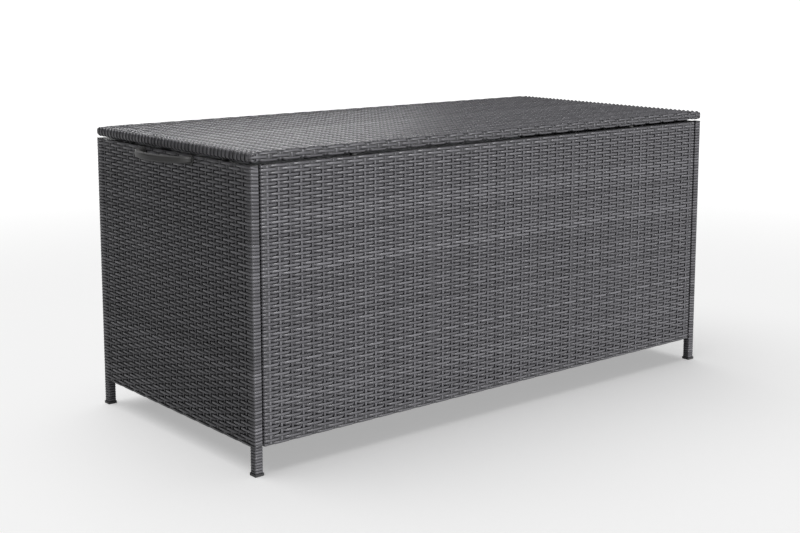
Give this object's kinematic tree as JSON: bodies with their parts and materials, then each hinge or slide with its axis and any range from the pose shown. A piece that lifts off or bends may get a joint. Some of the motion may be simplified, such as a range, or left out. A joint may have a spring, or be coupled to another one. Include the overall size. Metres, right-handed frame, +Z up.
{
  "type": "woven deck storage box",
  "caption": "Rectangular woven outdoor storage box on short legs, with a lid hinged at the back on gas struts, side handles and a fabric liner.",
  "frame": {"origin": "on the ground under the middle of the box's bounding box", "axes": "+Z up, front towards -Y, +X along the front to the right"},
  "size_m": [1.313, 0.5764, 0.581],
  "materials": {
    "frame_paint": "black powder coat",
    "weave": "flat woven strand, satin, dark grey",
    "black_plastic": "moulded black",
    "handle_plastic": "smooth dark grey",
    "liner_fabric": "coated plain weave",
    "binding_tape": "ribbed tape",
    "rubber": "matt",
    "steel": "zinc plated",
    "strut_paint": "black gloss",
    "rod_chrome": "polished"
  },
  "bodies": {
    "box": {"back_frame": "frame_paint", "back_weave": "weave", "floor_bolts": "steel", "floor_frame": "frame_paint", "floor_weave": "weave", "foot_caps": "black_plastic", "front_frame": "frame_paint", "front_weave": "weave", "handle_bolts": "steel", "hinge_box_leaf_centre": "steel", "hinge_box_leaf_left": "steel", "hinge_box_leaf_right": "steel", "hinge_box_screws": "steel", "hinge_pin_centre": "steel", "hinge_pin_left": "steel", "hinge_pin_right": "steel", "inner_liner": "liner_fabric", "left_handle": "handle_plastic", "left_post_wraps": "weave", "left_side_frame": "frame_paint", "left_strut_base_bracket": "steel", "left_weave": "weave", "lid_bumpers": "rubber", "liner_binding": "binding_tape", "liner_snaps": "steel", "panel_bolts": "steel", "post_caps": "black_plastic", "right_handle": "handle_plastic", "right_post_wraps": "weave", "right_side_frame": "frame_paint", "right_strut_base_bracket": "steel", "right_weave": "weave", "strut_base_clips": "steel", "strut_base_screws": "steel"},
    "lid": {"lid_frame": "frame_paint", "lid_weave": "weave", "hinge_lid_leaf_left": "steel", "hinge_lid_leaf_centre": "steel", "hinge_lid_leaf_right": "steel", "hinge_lid_screws": "steel", "left_strut_lid_bracket": "steel", "right_strut_lid_bracket": "steel", "strut_lid_clips": "steel", "strut_lid_screws": "steel"},
    "left_strut_tube": {"left_strut_base_eye": "black_plastic", "left_strut_cylinder": "strut_paint", "left_strut_gland": "strut_paint"},
    "left_strut_stem": {"left_strut_rod": "rod_chrome", "left_strut_lid_eye": "black_plastic"},
    "right_strut_tube": {"right_strut_base_eye": "black_plastic", "right_strut_cylinder": "strut_paint", "right_strut_gland": "strut_paint"},
    "right_strut_stem": {"right_strut_rod": "rod_chrome", "right_strut_lid_eye": "black_plastic"}
  },
  "joints": [
    {"name": "lid_hinge", "type": "hinge", "parent": "box", "child": "lid", "pos_m": [0, 0.2848, 0.5606], "axis": [-1, 0, 0], "range_deg": [0, 78]},
    {"name": "left_strut_base", "type": "hinge", "parent": "box", "child": "left_strut_tube", "pos_m": [-0.576, 0.23282, 0.31606], "axis": [-1, 0, 0], "range_deg": [0, 39]},
    {"name": "left_strut_top", "type": "hinge", "parent": "lid", "child": "left_strut_stem", "pos_m": [-0.576, 0.03617, 0.53447], "axis": [-1, 0, 0], "range_deg": [-39, 0]},
    {"name": "right_strut_base", "type": "hinge", "parent": "box", "child": "right_strut_tube", "pos_m": [0.576, 0.23282, 0.31606], "axis": [-1, 0, 0], "range_deg": [0, 39]},
    {"name": "right_strut_top", "type": "hinge", "parent": "lid", "child": "right_strut_stem", "pos_m": [0.576, 0.03617, 0.53447], "axis": [-1, 0, 0], "range_deg": [-39, 0]}
  ],
  "couplings": [
    {"joint": "left_strut_base", "follows": "lid_hinge", "ratio": 0.5},
    {"joint": "left_strut_top", "follows": "lid_hinge", "ratio": -0.5},
    {"joint": "right_strut_base", "follows": "lid_hinge", "ratio": 0.5},
    {"joint": "right_strut_top", "follows": "lid_hinge", "ratio": -0.5}
  ]
}
